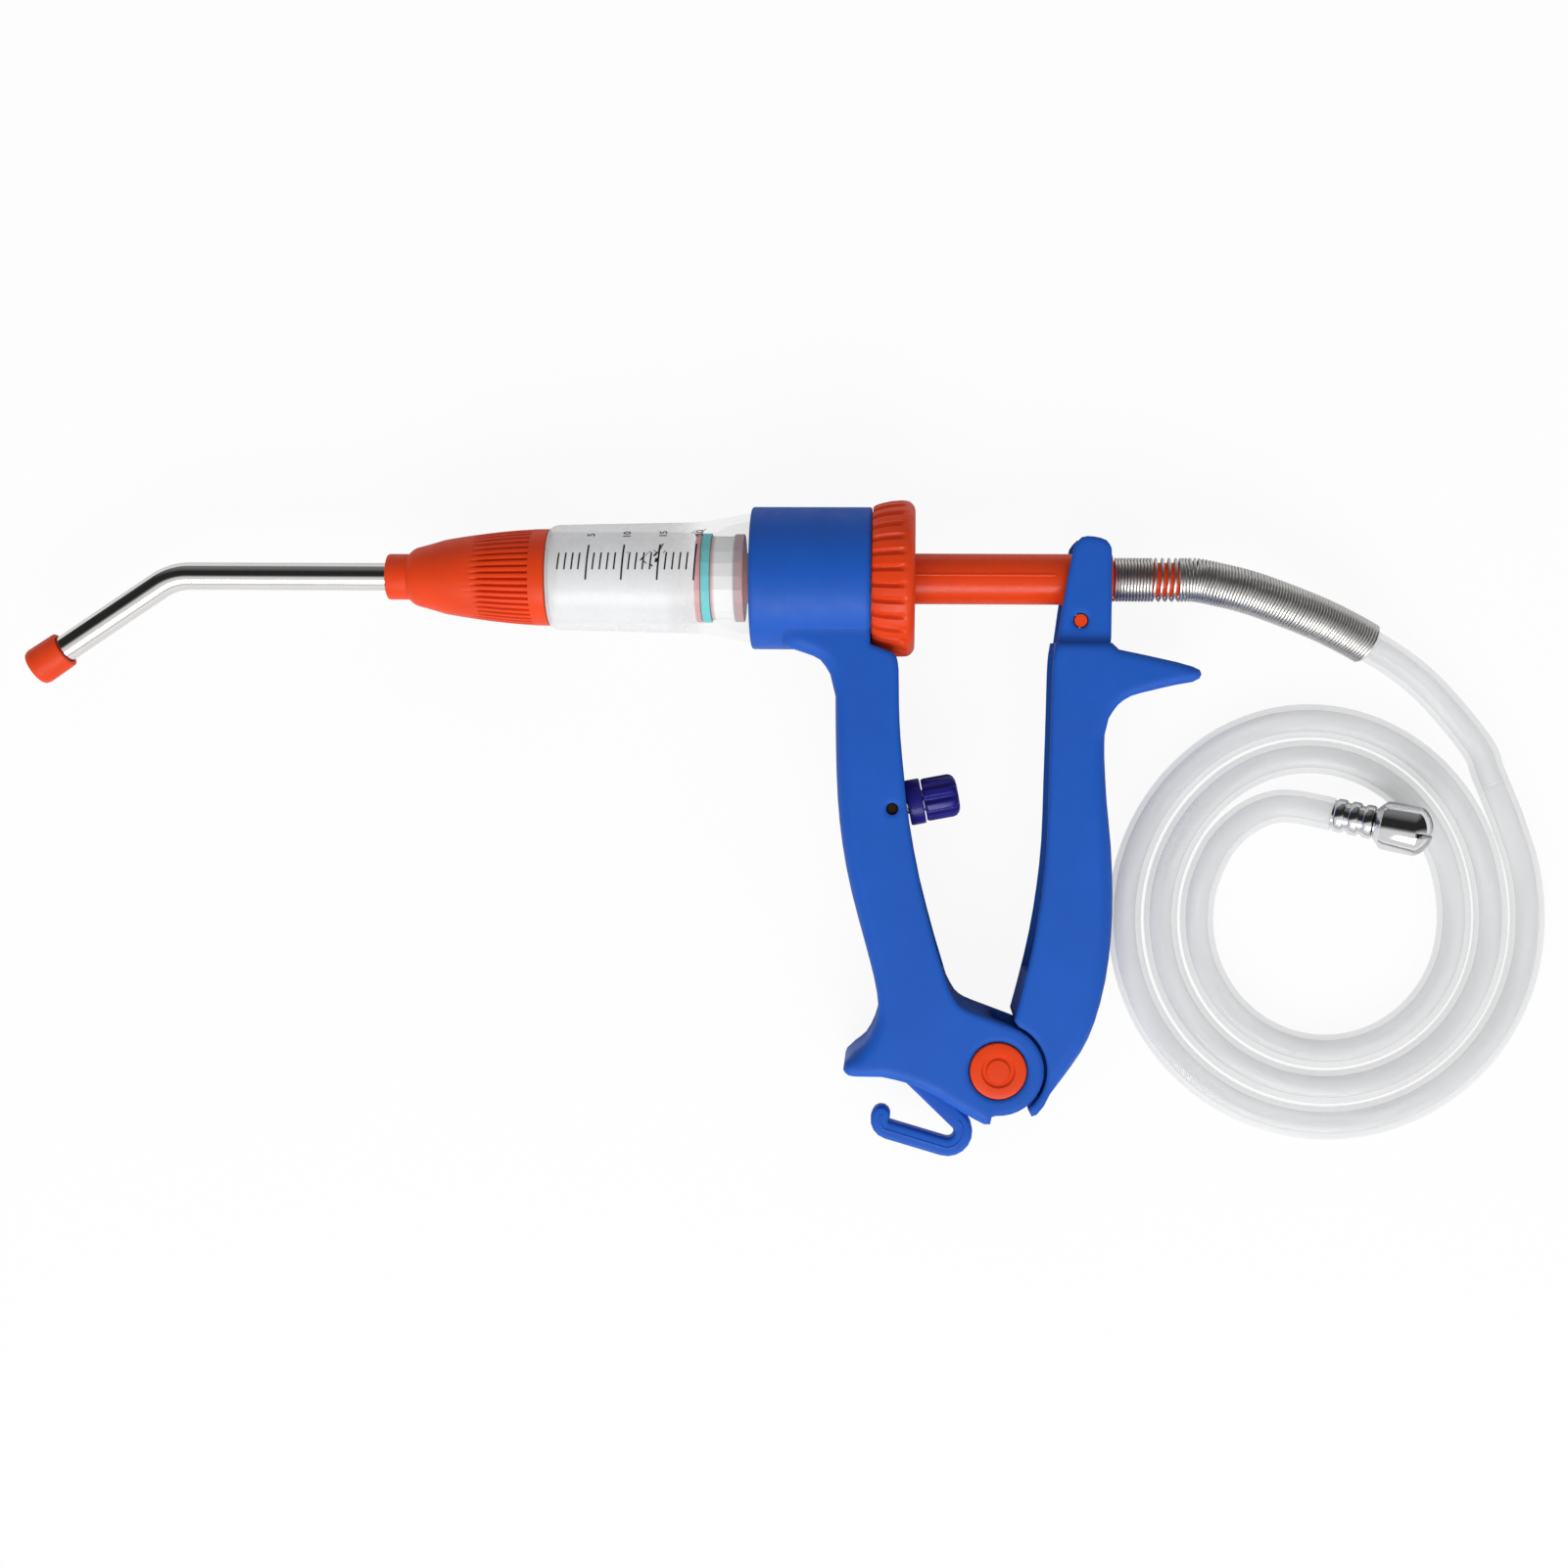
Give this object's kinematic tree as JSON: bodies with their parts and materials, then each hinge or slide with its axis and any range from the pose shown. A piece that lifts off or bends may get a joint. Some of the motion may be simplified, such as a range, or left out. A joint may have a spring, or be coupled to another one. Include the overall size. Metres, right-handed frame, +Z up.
{
  "type": "automatic veterinary drench gun",
  "caption": "Pistol-grip automatic dosing syringe: squeezing the hinged lever drives a piston in a graduated barrel, fed by a clear hose, out through a bent metal nozzle.",
  "frame": {"origin": "centre of the gun's base on the table, the hose left out", "axes": "+X along the barrel from the nozzle to the hose, +Y from the lever pivot up to the barrel, +Z up from the table, across the handles, as the gun lies on its side"},
  "size_m": [0.4282, 0.1824, 0.0432],
  "materials": {
    "handle_plastic": "satin moulded",
    "orange_plastic": "moulded",
    "navy_plastic": "moulded",
    "barrel_plastic": "frosted, translucent",
    "white_plastic": "moulded",
    "seal_rubber": "smooth",
    "gasket_rubber": "smooth",
    "spring_steel": "drawn wire",
    "chrome_metal": "plated",
    "brass_metal": "turned",
    "hose_pvc": "clear flexible PVC"
  },
  "bodies": {
    "gun_frame": {"front_handle": "handle_plastic", "barrel": "barrel_plastic", "barrel_gasket": "gasket_rubber", "retaining_nut": "orange_plastic", "rod_guide_bush": "white_plastic", "nose_cap": "orange_plastic", "nozzle_gasket": "gasket_rubber", "outlet_valve_seat": "white_plastic", "outlet_valve_spring": "spring_steel", "pivot_pin": "spring_steel", "pivot_cap_near": "orange_plastic", "pivot_cap_far": "orange_plastic", "lever_return_spring": "spring_steel", "hanging_hook": "handle_plastic", "dose_nut": "brass_metal", "hose_coil": "hose_pvc", "suction_hose_tail": "chrome_metal", "suction_strainer": "chrome_metal"},
    "lever": {"rear_lever": "handle_plastic", "drive_pin": "orange_plastic", "pivot_bush": "white_plastic"},
    "piston": {"piston_head": "white_plastic", "piston_seal": "seal_rubber", "piston_rod": "orange_plastic", "strain_relief_spring": "spring_steel", "inlet_valve_spring": "spring_steel", "hose_lead": "hose_pvc"},
    "inlet_valve_body": {"inlet_valve": "white_plastic"},
    "outlet_valve_body": {"outlet_valve": "white_plastic"},
    "nozzle": {"nozzle_tube": "chrome_metal", "nozzle_ferrule": "chrome_metal"},
    "tip": {"nozzle_tip": "orange_plastic"},
    "collar": {"lock_collar": "navy_plastic"},
    "dose_screw_body": {"dose_screw": "spring_steel", "dose_knob": "navy_plastic"}
  },
  "joints": [
    {"name": "lever_pivot", "type": "hinge", "parent": "gun_frame", "child": "lever", "pos_m": [0.11063, -0.06487, 0.01465], "axis": [0, -0.0516, 0.9987], "range_deg": [0, 18.4], "stiffness_Nm_per_rad": 0.6, "springref_deg": -17.19, "deforming": ["lever_return_spring"]},
    {"name": "piston_slide", "type": "slide", "parent": "gun_frame", "child": "piston", "axis": [-1, 0, 0], "range_m": [0, 0.0401], "deforming": ["hose_lead"]},
    {"name": "inlet_valve_lift", "type": "slide", "parent": "piston", "child": "inlet_valve_body", "axis": [-1, 0, 0], "range_m": [0, 0.0015], "stiffness_N_per_m": 40, "springref_m": -0.001, "deforming": ["inlet_valve_spring"]},
    {"name": "outlet_valve_lift", "type": "slide", "parent": "gun_frame", "child": "outlet_valve_body", "axis": [-1, 0, 0], "range_m": [0, 0.002], "stiffness_N_per_m": 40, "springref_m": -0.001, "deforming": ["outlet_valve_spring"]},
    {"name": "nozzle_swivel", "type": "hinge", "parent": "gun_frame", "child": "nozzle", "pos_m": [-0.02937, 0.06965, 0.0216], "axis": [1, 0, 0], "continuous": true},
    {"name": "tip_pull", "type": "slide", "parent": "nozzle", "child": "tip", "axis": [-0.8339, -0.5512, -0.0285], "range_m": [0, 0.014]},
    {"name": "dose_travel", "type": "slide", "parent": "gun_frame", "child": "collar", "axis": [0.9816, 0.1906, 0.0098], "range_m": [0, 0.01]},
    {"name": "dose_turn", "type": "hinge", "parent": "collar", "child": "dose_screw_body", "pos_m": [0.08103, 0.00664, 0.01835], "axis": [0.9816, 0.1906, 0.0098], "range_deg": [0, 2883]}
  ],
  "couplings": [
    {"joint": "piston_slide", "follows": "lever_pivot", "m_per_rad": 0.1245},
    {"joint": "dose_turn", "follows": "dose_travel", "rad_per_m": 5026.5}
  ]
}
